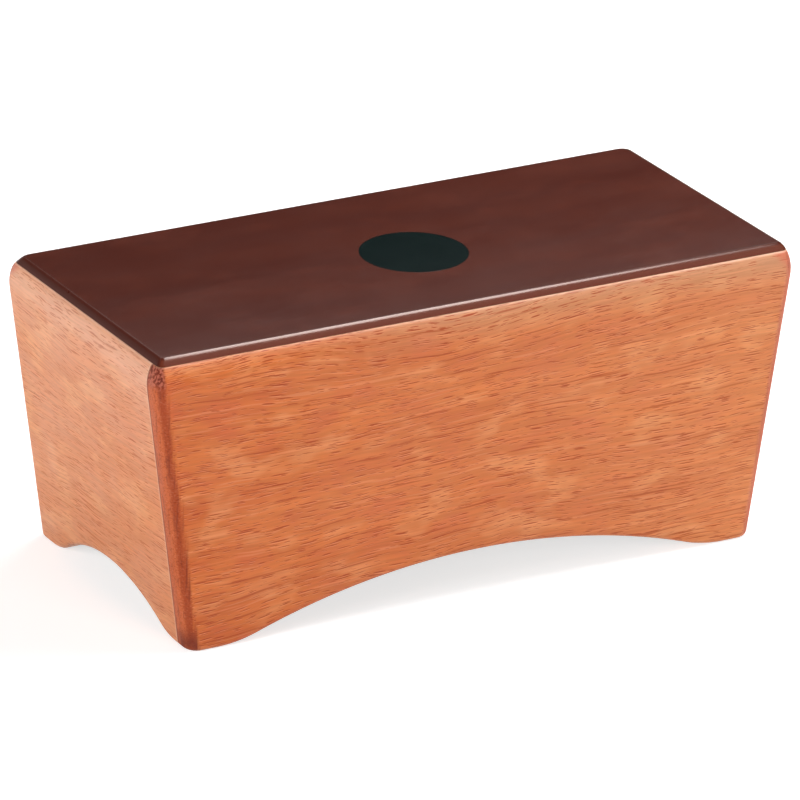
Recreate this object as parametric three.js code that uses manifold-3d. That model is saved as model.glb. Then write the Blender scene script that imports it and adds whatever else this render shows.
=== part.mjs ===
// Bongo cajon: a glued wooden box that narrows towards its base, with arched bottom edges
// that leave four feet, and a plate on top that is struck with the hands.
// Millimetres, +Z up, +X along the length, the front faces -Y, the origin is on the floor
// under the middle. The low chamber is on the -X side of the divider, the high one on +X.
import * as THREE from "three";
import { mergeVertices } from "three/addons/utils/BufferGeometryUtils.js";
import Module from "manifold-3d";

// Driving dimensions of the shell
const height = 172.5;
const baseLength = 357;
const baseWidth = 181.5;
const endLeanDegrees = 7.82; // how far the short panels lean in towards the base
const faceLeanDegrees = 0.27; // the same for the long panels
const panelThickness = 12.5;
const plateThickness = 4;
const topRound = 25; // large round-over that runs from the panels into the plate
const topTurnDegrees = 45; // how far it turns before the small one takes over
const edgeRound = 3; // small round-over into the plate's flat top
const cornerRound = 8.5; // upright corners of the box
const frontPlateCorner = 2.5; // least corner radius, up on the plate
const rearPlateCorner = 5.5;
const footRound = 3; // outer bottom edge

// Arches in the bottom edges: the foot left at each end, the rise, and the curve out of the foot
const faceFoot = 18;
const faceArchRise = 26.5;
const faceArchBlend = 76;
const endFoot = 18;
const endArchRise = 20.3;
const endArchBlend = 30;

// Round patch let into the plate
const discRadius = 30.4;
const discThickness = 0.25;
const discForward = 7.2; // from the middle towards the front
const discAside = 2.8; // from the middle towards the right end

// Pieces inside the box
const dividerThickness = 9;
const dividerOffset = 35; // from the middle towards the high chamber
const dividerAboveArch = 6;
const battenWidth = 14;
const battenHeight = 14;
const cleatWidth = 12;
const cleatDepth = 14;
const blockLeg = 20;
const blockLift = 12; // bottom of the corner blocks above the floor

// Clearances and fineness
const glueGap = 0.3;
const discGap = 0.1;
const cutReach = 10; // how far a cutting shape runs past what it cuts
const cornerSteps = 6;
const topRoundSteps = 8;
const edgeRoundSteps = 4;
const footRoundSteps = 3;
const archSteps = 14;
const discSteps = 64;
const leastLevelStep = 0.2;

// Places that follow from the sizes
const seam = height - plateThickness;
const battenBottom = seam - battenHeight;
const dividerBottom = faceArchRise + dividerAboveArch;
const endSlope = Math.tan(THREE.MathUtils.degToRad(endLeanDegrees));
const faceSlope = Math.tan(THREE.MathUtils.degToRad(faceLeanDegrees));
const topTurn = THREE.MathUtils.degToRad(topTurnDegrees);
const edgeStart = height - edgeRound * (1 - Math.sin(topTurn));
const roundStart = edgeStart - topRound * Math.sin(topTurn);

// Finishes
const panelFinish = { color: 0xc47848, roughness: 0.45, metalness: 0 };
const plateFinish = { color: 0x5a2e25, roughness: 0.25, metalness: 0 };
const discFinish = { color: 0x1b2926, roughness: 0.3, metalness: 0 };
const innerFinish = { color: 0xd8b587, roughness: 0.7, metalness: 0 };
const dividerFinish = { color: 0xcba573, roughness: 0.65, metalness: 0 };

const wasm = await Module();
wasm.setup();

// A closed geometry as a solid that can be cut
function toSolid(geometry) {
  const bare = geometry.clone();
  bare.deleteAttribute("normal");
  bare.deleteAttribute("uv");
  const merged = mergeVertices(bare);
  const vertProperties = new Float32Array(merged.attributes.position.array);
  const triVerts = new Uint32Array(merged.index.array);
  return new wasm.Manifold(new wasm.Mesh({ numProp: 3, vertProperties, triVerts }));
}

// A cut solid back as a geometry
function toGeometry(solid) {
  const { vertProperties, triVerts } = solid.getMesh();
  const geometry = new THREE.BufferGeometry();
  geometry.setAttribute("position", new THREE.BufferAttribute(vertProperties, 3));
  geometry.setIndex(new THREE.BufferAttribute(triVerts, 1));
  geometry.computeVertexNormals();
  return geometry;
}

// A closed body through convex rings of equal count, from the lowest to the highest
function loft(rings) {
  const count = rings[0].length;
  const lid = (rings.length - 1) * count;
  const index = [];
  for (let start = 0; start < lid; start += count) {
    for (let i = 0; i < count; i += 1) {
      const here = start + i;
      const next = start + (i + 1) % count;
      index.push(here, next, next + count, here, next + count, here + count);
    }
  }
  for (let i = 1; i + 1 < count; i += 1) {
    index.push(0, i + 1, i, lid, lid + i, lid + i + 1);
  }
  const geometry = new THREE.BufferGeometry().setFromPoints(rings.flat());
  geometry.setIndex(index);
  geometry.computeVertexNormals();
  return geometry;
}

// Half sizes of the leaning outer faces, before any rounding
function halfLength(z) {
  return baseLength / 2 + z * endSlope;
}

function halfWidth(z) {
  return baseWidth / 2 + z * faceSlope;
}

// Half sizes of the room between the panels, a glue gap clear of them
function innerLength(z) {
  return halfLength(z) - panelThickness - glueGap;
}

function innerWidth(z) {
  return halfWidth(z) - panelThickness - glueGap;
}

// How far a round edge has drawn in, at a distance past the start of its arc
function arcInset(radius, past) {
  const reach = THREE.MathUtils.clamp(past, 0, radius);
  return radius - Math.sqrt(radius ** 2 - reach ** 2);
}

// The same for the top edge, where a large arc runs into a small one
function topInset(z) {
  const large = arcInset(topRound, Math.min(z, edgeStart) - roundStart);
  const small = arcInset(edgeRound, Math.max(z, edgeStart) - (height - edgeRound));
  return large + small - arcInset(edgeRound, edgeRound * Math.sin(topTurn));
}

// Outline of the box at one height: a rectangle with round corners
function outline(z) {
  const inset = topInset(z) + arcInset(footRound, footRound - z);
  const corners = [[1, 1], [-1, 1], [-1, -1], [1, -1]];
  const points = [];
  corners.forEach(([sideX, sideY], quarter) => {
    const leastRadius = sideY > 0 ? rearPlateCorner : frontPlateCorner;
    const radius = Math.max(cornerRound - inset, leastRadius);
    const centreX = sideX * (halfLength(z) - inset - radius);
    const centreY = sideY * (halfWidth(z) - inset - radius);
    for (let step = 0; step <= cornerSteps; step += 1) {
      const angle = (quarter + step / cornerSteps) * Math.PI / 2;
      const px = centreX + radius * Math.cos(angle);
      const py = centreY + radius * Math.sin(angle);
      points.push(new THREE.Vector3(px, py, z));
    }
  });
  return points;
}

// Heights at which the outline is taken, close together where an edge is round
function roundLevels() {
  const levels = [];
  for (let step = 0; step <= footRoundSteps; step += 1) {
    levels.push(footRound * (1 - Math.cos(step / footRoundSteps * Math.PI / 2)));
  }
  for (let step = 0; step <= topRoundSteps; step += 1) {
    levels.push(roundStart + topRound * Math.sin(step / topRoundSteps * topTurn));
  }
  for (let step = 1; step <= edgeRoundSteps; step += 1) {
    const angle = THREE.MathUtils.lerp(topTurn, Math.PI / 2, step / edgeRoundSteps);
    levels.push(height - edgeRound * (1 - Math.sin(angle)));
  }
  return levels;
}

const levels = roundLevels();
const bodyLevels = [...levels.filter((z) => z < seam - leastLevelStep), seam];
const plateLevels = [seam, ...levels.filter((z) => z > seam + leastLevelStep)];

// Space under one panel: an arch of one radius that runs into each foot on a smaller one
function archCutter(along, across, foot, rise, blend) {
  const halfSpan = along(0) - foot;
  const radius = (halfSpan ** 2 / rise + rise) / 2 - blend;
  const turn = Math.atan2(radius + blend - rise, halfSpan);
  const shape = new THREE.Shape();
  shape.moveTo(-halfSpan, -cutReach);
  shape.lineTo(-halfSpan, 0);
  shape.absarc(-halfSpan, blend, blend, -Math.PI / 2, -turn, false);
  shape.absarc(0, rise - radius, radius, Math.PI - turn, turn, true);
  shape.absarc(halfSpan, blend, blend, Math.PI + turn, Math.PI * 3 / 2, false);
  shape.lineTo(halfSpan, -cutReach);
  const depth = across(0) + cutReach;
  const cutter = new THREE.ExtrudeGeometry(shape, { depth, bevelEnabled: false, curveSegments: archSteps });
  cutter.rotateX(Math.PI / 2);
  return cutter;
}

// A straight strip or board whose sides may follow the leaning panels
function boardGeometry(low, high, rangeX, rangeY) {
  const ring = (z) => {
    const [left, right] = rangeX(z).toSorted((a, b) => a - b);
    const [front, rear] = rangeY(z).toSorted((a, b) => a - b);
    return [
      new THREE.Vector3(left, front, z),
      new THREE.Vector3(right, front, z),
      new THREE.Vector3(right, rear, z),
      new THREE.Vector3(left, rear, z),
    ];
  };
  return loft([ring(low), ring(high)]);
}

const body = toSolid(loft(bodyLevels.map(outline)));

// One panel: the share of the box that it takes between its two ends, less the arch in its bottom edge
function panelGeometry(turn, start, end, { along, across, foot, rise, blend }) {
  const angle = turn * Math.PI / 2;
  const room = boardGeometry(
    -cutReach,
    height,
    (z) => [-start(z), end(z)],
    (z) => [-across(z) - cutReach, -across(z) + panelThickness],
  );
  const share = body.intersect(toSolid(room.rotateZ(angle)));
  const arch = archCutter(along, across, foot, rise, blend);
  return toGeometry(share.subtract(toSolid(arch.rotateZ(angle))));
}

// A three-cornered block in the corner on the given sides
function blockGeometry(endSide, faceSide) {
  const ring = (z) => {
    const cornerX = endSide * innerLength(z);
    const cornerY = faceSide * innerWidth(z);
    const points = [
      new THREE.Vector3(cornerX, cornerY, z),
      new THREE.Vector3(cornerX - endSide * blockLeg, cornerY, z),
      new THREE.Vector3(cornerX, cornerY - faceSide * blockLeg, z),
    ];
    return endSide * faceSide > 0 ? points : points.reverse();
  };
  return loft([ring(blockLift), ring(battenBottom - glueGap)]);
}

function addPiece(group, name, geometry, finish) {
  const mesh = new THREE.Mesh(geometry, new THREE.MeshStandardMaterial(finish));
  mesh.name = name;
  group.add(mesh);
  return mesh;
}

// Four panels: the front one runs the whole length, the short ones are glued behind it and run out
// to the rear, and the rear one is glued in between them
const shell = new THREE.Group();
const longArch = {
  along: halfLength,
  across: halfWidth,
  foot: faceFoot,
  rise: faceArchRise,
  blend: faceArchBlend,
};
const shortArch = {
  along: halfWidth,
  across: halfLength,
  foot: endFoot,
  rise: endArchRise,
  blend: endArchBlend,
};
const pastEnds = (z) => halfLength(z) + cutReach;
const pastFaces = (z) => halfWidth(z) + cutReach;
const panels = [
  ["front_panel", pastEnds, pastEnds, longArch],
  ["right_panel", innerWidth, pastFaces, shortArch],
  ["rear_panel", innerLength, innerLength, longArch],
  ["left_panel", pastFaces, innerWidth, shortArch],
];
panels.forEach(([name, start, end, arch], turn) => {
  addPiece(shell, name, panelGeometry(turn, start, end, arch), panelFinish);
});

// Plate with a shallow recess, and the round patch that lies flush in it
const top = new THREE.Group();
const recessRadius = discRadius + discGap;
const recess = new THREE.CylinderGeometry(recessRadius, recessRadius, 2 * discThickness, discSteps);
recess.rotateX(Math.PI / 2).translate(discAside, -discForward, height);
const fullPlate = toSolid(loft(plateLevels.map(outline)));
addPiece(top, "playing_plate", toGeometry(fullPlate.subtract(toSolid(recess))), plateFinish);
const discGeometry = new THREE.CylinderGeometry(discRadius, discRadius, discThickness, discSteps);
const disc = addPiece(top, "plate_disc", discGeometry.rotateX(Math.PI / 2), discFinish);
disc.position.set(discAside, -discForward, height - discThickness / 2);

// Divider between the chambers, up to the plate
const inside = new THREE.Group();
const dividerFace = (side) => dividerOffset + side * dividerThickness / 2;
const dividerGeometry = boardGeometry(
  dividerBottom,
  seam,
  () => [dividerFace(-1), dividerFace(1)],
  (z) => [-innerWidth(z), innerWidth(z)],
);
addPiece(inside, "divider_panel", dividerGeometry, dividerFinish);

// Strips and blocks: each chamber lies on one side of the divider, each face on one side of the middle
const chambers = [["low", -1, "left"], ["high", 1, "right"]];
const faces = [["front", -1], ["rear", 1]];
for (const [chamber, endSide, end] of chambers) {
  const besideDivider = dividerFace(endSide) + endSide * glueGap;
  const betweenBattens = (z) => innerWidth(z) - battenWidth - glueGap;
  const endBatten = boardGeometry(
    battenBottom,
    seam,
    (z) => [endSide * innerLength(z), endSide * (innerLength(z) - battenWidth)],
    (z) => [-innerWidth(z), innerWidth(z)],
  );
  addPiece(inside, `plate_batten_${end}`, endBatten, innerFinish);
  const dividerBatten = boardGeometry(
    battenBottom,
    seam,
    () => [besideDivider, besideDivider + endSide * battenWidth],
    (z) => [-betweenBattens(z), betweenBattens(z)],
  );
  addPiece(inside, `divider_batten_${chamber}`, dividerBatten, innerFinish);
  for (const [face, faceSide] of faces) {
    const faceBatten = boardGeometry(
      battenBottom,
      seam,
      (z) => [besideDivider, endSide * (innerLength(z) - battenWidth - glueGap)],
      (z) => [faceSide * innerWidth(z), faceSide * (innerWidth(z) - battenWidth)],
    );
    addPiece(inside, `plate_batten_${face}_${chamber}`, faceBatten, innerFinish);
    const cleat = boardGeometry(
      dividerBottom,
      battenBottom - glueGap,
      () => [besideDivider, besideDivider + endSide * cleatWidth],
      (z) => [faceSide * innerWidth(z), faceSide * (innerWidth(z) - cleatDepth)],
    );
    addPiece(inside, `divider_cleat_${face}_${chamber}`, cleat, innerFinish);
    addPiece(inside, `corner_block_${face}_${end}`, blockGeometry(endSide, faceSide), innerFinish);
  }
}

const cajon = new THREE.Group();
cajon.add(shell, top, inside);

export default cajon;
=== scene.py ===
import math

import bpy
import numpy as np
from mathutils import Matrix, Vector


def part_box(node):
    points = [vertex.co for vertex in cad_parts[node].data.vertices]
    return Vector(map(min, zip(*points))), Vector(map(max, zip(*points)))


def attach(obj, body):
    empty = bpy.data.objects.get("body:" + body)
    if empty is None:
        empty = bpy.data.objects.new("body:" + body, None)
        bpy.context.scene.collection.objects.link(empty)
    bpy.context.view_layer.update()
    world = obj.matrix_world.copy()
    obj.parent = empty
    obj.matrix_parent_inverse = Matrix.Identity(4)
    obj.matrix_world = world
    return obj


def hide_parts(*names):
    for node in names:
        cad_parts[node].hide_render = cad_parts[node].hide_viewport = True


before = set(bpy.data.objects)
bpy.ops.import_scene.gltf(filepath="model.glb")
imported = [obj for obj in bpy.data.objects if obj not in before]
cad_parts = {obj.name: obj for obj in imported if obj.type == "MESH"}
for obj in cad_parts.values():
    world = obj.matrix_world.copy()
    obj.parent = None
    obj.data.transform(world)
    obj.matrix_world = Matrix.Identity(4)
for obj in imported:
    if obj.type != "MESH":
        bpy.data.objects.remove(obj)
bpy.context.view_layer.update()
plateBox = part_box("playing_plate")
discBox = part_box("plate_disc")
seam = plateBox[0].z  # where the plate lies on the panels
topLevel = plateBox[1].z
print("frame loaded:", len(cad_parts), "nodes")

# Box that the panels and the plate share, metres and radians
shell = {
    "baseLength": 0.357,
    "baseWidth": 0.1815,
    "endLean": math.radians(7.82),
    "faceLean": math.radians(0.27),
    "panel": 0.0125,
    "topRound": 0.025,
    "topTurn": math.radians(45),  # where the large round gives way to the small one
    "edgeRound": 0.003,
    "cornerRound": 0.0085,
    "frontCorner": 0.0025,  # least corner radius, up on the plate
    "rearCorner": 0.0055,
    "glueGap": 0.0003,
    "seamEase": 0.0003,  # small chamfer on both sides of a glue seam
}
edgeStart = topLevel - shell["edgeRound"] * (1 - math.sin(shell["topTurn"]))
roundStart = edgeStart - shell["topRound"] * math.sin(shell["topTurn"])


# Half size of the leaning box: half the base plus the height times the lean's tangent
def halfLength(z):
    return shell["baseLength"] / 2 + z * math.tan(shell["endLean"])


def halfWidth(z):
    return shell["baseWidth"] / 2 + z * math.tan(shell["faceLean"])


# Draw-in of one arc: its radius less the width of its circle that far past its start
def arcInset(radius, past):
    return radius - np.sqrt(radius ** 2 - np.clip(past, 0, radius) ** 2)


# Draw-in of the round-over: the large arc up to its turn, and the rest of the small arc above it
def roundInset(z):
    edge = shell["edgeRound"]
    large = arcInset(shell["topRound"], np.minimum(z, edgeStart) - roundStart)
    small = arcInset(edge, np.maximum(z, edgeStart) - (topLevel - edge))
    return large + small - arcInset(edge, edge * math.sin(shell["topTurn"]))


# Corner radius left where the outline has drawn in; "rear" is 0 at a front corner and 1 at a rear one
def cornerLeft(inset, rear):
    least = shell["frontCorner"] * (1 - rear) + shell["rearCorner"] * rear
    return np.maximum(shell["cornerRound"] - inset, least)


# Quads of a grid of points, row after row, with either direction closed on itself
def gridFaces(rows, columns, wrapRows=False, wrapColumns=False):
    i = np.arange(rows if wrapRows else rows - 1)[:, None]
    j = np.arange(columns if wrapColumns else columns - 1)[None, :]
    nextRow, nextColumn = (i + 1) % rows, (j + 1) % columns
    corners = (i * columns + j, i * columns + nextColumn,
               nextRow * columns + nextColumn, nextRow * columns + j)
    return np.stack(np.broadcast_arrays(*corners), -1).reshape(-1, 4)


# Turns points about the upright axis by a number of quarter turns
def quarterTurn(points, turn):
    cosine, sine = round(math.cos(turn * math.pi / 2)), round(math.sin(turn * math.pi / 2))
    x, y, z = points[..., 0], points[..., 1], points[..., 2]
    return np.stack([cosine * x - sine * y, sine * x + cosine * y, z], -1)


sharpTurn = math.radians(35)  # an edge that turns by more than this stays sharp


# Faces of rings that close on themselves, with a fan of triangles from the first ring and one from the
# last ring to the two middle points that follow the rings
def ringFaces(rows, count):
    faces = gridFaces(rows, count, wrapColumns=True).tolist()
    here, after = np.arange(count), (np.arange(count) + 1) % count
    last = (rows - 1) * count
    faces += np.stack([after, here, np.full(count, rows * count)], -1).tolist()
    faces += np.stack([last + here, last + after, np.full(count, rows * count + 1)], -1).tolist()
    return faces


# Puts one finished surface into the scene in place of its solid
def addPiece(name, points, faces, fields, material, node):
    mesh = bpy.data.meshes.new(name)
    mesh.from_pydata(points.reshape(-1, 3).tolist(), [], faces)
    mesh.polygons.foreach_set("use_smooth", [True] * len(mesh.polygons))
    mesh.set_sharp_from_angle(angle=sharpTurn)
    for label, values in fields.items():
        attribute = mesh.attributes.new(label, "FLOAT_VECTOR", "POINT")
        attribute.data.foreach_set("vector", values.astype(np.float32).ravel())
    mesh.materials.append(material)
    mesh.update()
    piece = bpy.data.objects.new(name, mesh)
    bpy.context.scene.collection.objects.link(piece)
    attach(piece, "root")
    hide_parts(node)


# Shader building: one node with its settings, and its sockets filled or linked
def put(tree, kind, sockets=None, **settings):
    node = tree.nodes.new(kind)
    for key, value in settings.items():
        setattr(node, key, value)
    for key, value in (sockets or {}).items():
        if isinstance(value, bpy.types.NodeSocket):
            tree.links.new(value, node.inputs[key])
        else:
            node.inputs[key].default_value = value
    return node


# One operation on two values, by the name that Blender gives it
def calc(tree, operation, a, b=0.0, clamp=False):
    return put(tree, "ShaderNodeMath", {0: a, 1: b}, operation=operation, use_clamp=clamp).outputs[0]


# Product of two values
def times(tree, a, b):
    return calc(tree, "MULTIPLY", a, b)


# A noise less its middle value, times a width
def aboutMiddle(tree, value, width):
    return times(tree, calc(tree, "SUBTRACT", value, 0.5), width)


# A position times a scale plus a shift, each along its own axis
def stretch(tree, vector, scale, shift=(0, 0, 0)):
    node = put(tree, "ShaderNodeMapping", {"Vector": vector, "Scale": scale, "Location": shift})
    return node.outputs[0]


# Smooth random value at a position, 1 unit from one feature to the next
def noise(tree, vector, detail=2.0, roughness=0.5):
    sockets = {"Vector": vector, "Scale": 1.0, "Detail": detail, "Roughness": roughness}
    return put(tree, "ShaderNodeTexNoise", sockets).outputs[0]


# Smooth step of a value from one level to another
def step(tree, value, low, high, lowOut=0.0, highOut=1.0):
    sockets = {"Value": value, "From Min": low, "From Max": high, "To Min": lowOut, "To Max": highOut}
    return put(tree, "ShaderNodeMapRange", sockets, interpolation_type="SMOOTHSTEP").outputs[0]


# The first colour, with the factor's share of the second one mixed in or multiplied
def blendColour(tree, factor, a, b, mode="MIX"):
    node = put(tree, "ShaderNodeMix", {0: factor, 6: a, 7: b}, data_type="RGBA", blend_type=mode)
    return node.outputs[2]


# The three numbers of a vector
def parts(tree, vector):
    return put(tree, "ShaderNodeSeparateXYZ", {0: vector}).outputs


# Vector that addPiece stored at the points of the mesh
def field(tree, name):
    return put(tree, "ShaderNodeAttribute", attribute_name=name).outputs["Vector"]


# Material with its node tree and its shader
def newMaterial(name):
    material = bpy.data.materials.new(name)
    material.use_nodes = True
    tree = material.node_tree
    return material, tree, tree.nodes["Principled BSDF"]


# Empty node group: inputs by name and kind, and outputs that are all plain values
def newGroup(name, inputs, outputs):
    tree = bpy.data.node_groups.new(name, "ShaderNodeTree")
    for label, kind in inputs.items():
        tree.interface.new_socket(label, in_out="INPUT", socket_type="NodeSocket" + kind)
    for label in outputs:
        tree.interface.new_socket(label, in_out="OUTPUT", socket_type="NodeSocketFloat")
    entry = tree.nodes.new("NodeGroupInput").outputs
    leave = tree.nodes.new("NodeGroupOutput").inputs
    return tree, entry, leave


# A group placed in a tree, with its own values
def useGroup(tree, group, sockets):
    return put(tree, "ShaderNodeGroup", sockets, node_tree=group).outputs


# Grain that all the woods share. Scales are per metre, along, across and through the fibres. Here and in
# the looks below, a step says where it starts and ends, then what it gives there if not 0 and 1
grainLook = {
    "slowSway": (4, 9, 9),
    "slowShare": 1.0,
    "quickSway": (26, 34, 34),
    "quickShift": (4, 6, 1),
    "quickShare": 0.12,
    "longLine": (22, 760, 760),
    "longShift": (11.3, 2.1, 5.3),
    "longPore": (0.68, 0.80, 0.0, 0.7),
    # painted highlight lines that go with the long pores
    "longLip": (0.34, 0.22, 0.0, 0.6),
    "shortPores": [  # three sizes: scale, shift, and scale of the noise that crowds them
        ((72, 1050, 1050), (3.1, 7.7, 1.9), (24, 100, 100)),
        ((50, 820, 820), (8.7, 1.6, 4.9), (16, 70, 70)),
        ((105, 1250, 1250), (5.9, 4.4, 8.2), (32, 130, 130)),
    ],
    "chanceShare": 0.4,  # chance beside crowding, in which pores are kept
    "keptStep": (0.48, 0.60),
    "leastPore": 0.55,  # chance adds up to 1 to this
    "poreCore": 0.65,  # this and the three below are in radii of a pore
    "lipBelow": 1.5,
    "lipEdge": 1.1,
    "lipCore": 0.5,
    "fibres": (34, 820, 820),
    "bands": (3.4, 46, 46),
    "bandShift": (5, 3, 8),
    "patches": (30, 55, 55),
    "patchShift": (2, 9, 4),
}


# Wood grain: x of the position runs along the fibres, y and z across them. Short pores are stretched
# cells, each with its own size and some left out, with a painted highlight below, where the lower lip
# would catch light from above; long pores are the crests of a noise drawn out along the fibres, with
# painted highlight lines where the noise is low; fibres, bands and patches are noises of growing width
def makeGrainGroup():
    look = grainLook
    inputs = {"Position": "Vector", "Tilt": "Float", "Wave": "Float", "Pore Size": "Float"}
    tree, entry, leave = newGroup("woodGrain", inputs, ("Pores", "Lips", "Fibres", "Bands", "Patches"))
    x, y, z = parts(tree, entry["Position"])
    slow = noise(tree, stretch(tree, entry["Position"], look["slowSway"]), detail=1.0)
    quick = noise(tree, stretch(tree, entry["Position"], look["quickSway"], look["quickShift"]), detail=1.0)
    sway = calc(tree, "ADD", aboutMiddle(tree, slow, look["slowShare"]),
                aboutMiddle(tree, quick, look["quickShare"]))
    rise = times(tree, x, entry["Tilt"])
    height = calc(tree, "ADD", calc(tree, "SUBTRACT", y, rise), times(tree, sway, entry["Wave"]))
    flow = put(tree, "ShaderNodeCombineXYZ", {0: x, 1: height, 2: z}).outputs[0]
    longLine = noise(tree, stretch(tree, flow, look["longLine"], look["longShift"]), detail=0.0)
    pores = step(tree, longLine, *look["longPore"])
    lipHighlights = step(tree, longLine, *look["longLip"])
    for scale, shift, cover in look["shortPores"]:
        spot = stretch(tree, flow, scale, shift)
        cells = put(tree, "ShaderNodeTexVoronoi", {"Vector": spot, "Scale": 1.0}).outputs
        chance = parts(tree, cells["Color"])
        crowd = noise(tree, stretch(tree, flow, cover, shift), detail=1.0)
        crowd = calc(tree, "ADD", crowd, times(tree, chance[1], look["chanceShare"]))
        kept = step(tree, crowd, *look["keptStep"])
        radius = times(tree, entry["Pore Size"], calc(tree, "ADD", look["leastPore"], chance[0]))
        mark = step(tree, cells["Distance"], radius, times(tree, radius, look["poreCore"]))
        below = put(tree, "ShaderNodeCombineXYZ", {1: times(tree, radius, look["lipBelow"])}).outputs[0]
        away = put(tree, "ShaderNodeVectorMath", {0: spot, 1: cells["Position"]}, operation="SUBTRACT")
        lipAway = put(tree, "ShaderNodeVectorMath", {0: away.outputs[0], 1: below}, operation="ADD")
        lipReach = put(tree, "ShaderNodeVectorMath", {0: lipAway.outputs[0]}, operation="LENGTH")
        lip = step(tree, lipReach.outputs["Value"], times(tree, radius, look["lipEdge"]),
                   times(tree, radius, look["lipCore"]))
        pores = calc(tree, "MAXIMUM", pores, times(tree, mark, kept))
        lipHighlights = calc(tree, "MAXIMUM", lipHighlights, times(tree, lip, kept))
    fibres = noise(tree, stretch(tree, flow, look["fibres"]))
    bands = noise(tree, stretch(tree, flow, look["bands"], look["bandShift"]), detail=3.0, roughness=0.55)
    patches = noise(tree, stretch(tree, flow, look["patches"], look["patchShift"]), roughness=0.6)
    tree.links.new(pores, leave["Pores"])
    tree.links.new(calc(tree, "SUBTRACT", lipHighlights, pores, clamp=True), leave["Lips"])
    tree.links.new(fibres, leave["Fibres"])
    tree.links.new(bands, leave["Bands"])
    tree.links.new(patches, leave["Patches"])
    return tree


wearLook = {
    "scale": (160, 160, 160),
    "spreadStep": (0.35, 0.7),
    "fadeStep": (0.0, -0.0004),
}


# Rubbed edge: a distance from the edge, broken up by noise, against the reach of the wear
def makeWearGroup():
    look = wearLook
    inputs = {"Position": "Vector", "Distance": "Float", "Reach": "Float"}
    tree, entry, leave = newGroup("edgeWear", inputs, ("Wear",))
    rough = noise(tree, stretch(tree, entry["Position"], look["scale"]), detail=3.0, roughness=0.6)
    spread = times(tree, step(tree, rough, *look["spreadStep"]), entry["Reach"])
    past = calc(tree, "SUBTRACT", entry["Distance"], spread)
    tree.links.new(step(tree, past, *look["fadeStep"]), leave["Wear"])
    return tree


grainGroup = makeGrainGroup()
wearGroup = makeWearGroup()


# Grain at a place, with the tilt, wave and pores of one look
def grainOn(tree, look, place):
    return useGroup(tree, grainGroup, {"Position": place, **look["grain"]})


# A colour with another one of the look mixed in: by a step on a value, or by a share of the value
def layOver(tree, look, colour, other, value, how):
    amount = look[how]
    factor = step(tree, value, *amount) if isinstance(amount, tuple) else times(tree, value, amount)
    return blendColour(tree, factor, colour, look[other])


# A colour with the worn one mixed in along an edge
def wearOn(tree, look, place, distance, colour):
    wear = useGroup(tree, wearGroup, {"Position": place, "Distance": distance, "Reach": look["wearReach"]})
    return layOver(tree, look, colour, "worn", wear["Wear"], "wearShare")


# Colour, roughness and the height of the relief go to the shader; what is plain is set on its socket
def finishShader(tree, shader, look, colour, rough, relief):
    bump = put(tree, "ShaderNodeBump", {**look["bump"], "Height": relief})
    tree.links.new(colour, shader.inputs["Base Color"])
    tree.links.new(rough, shader.inputs["Roughness"])
    tree.links.new(bump.outputs[0], shader.inputs["Normal"])
    shader.inputs["IOR"].default_value = look["ior"]
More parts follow.
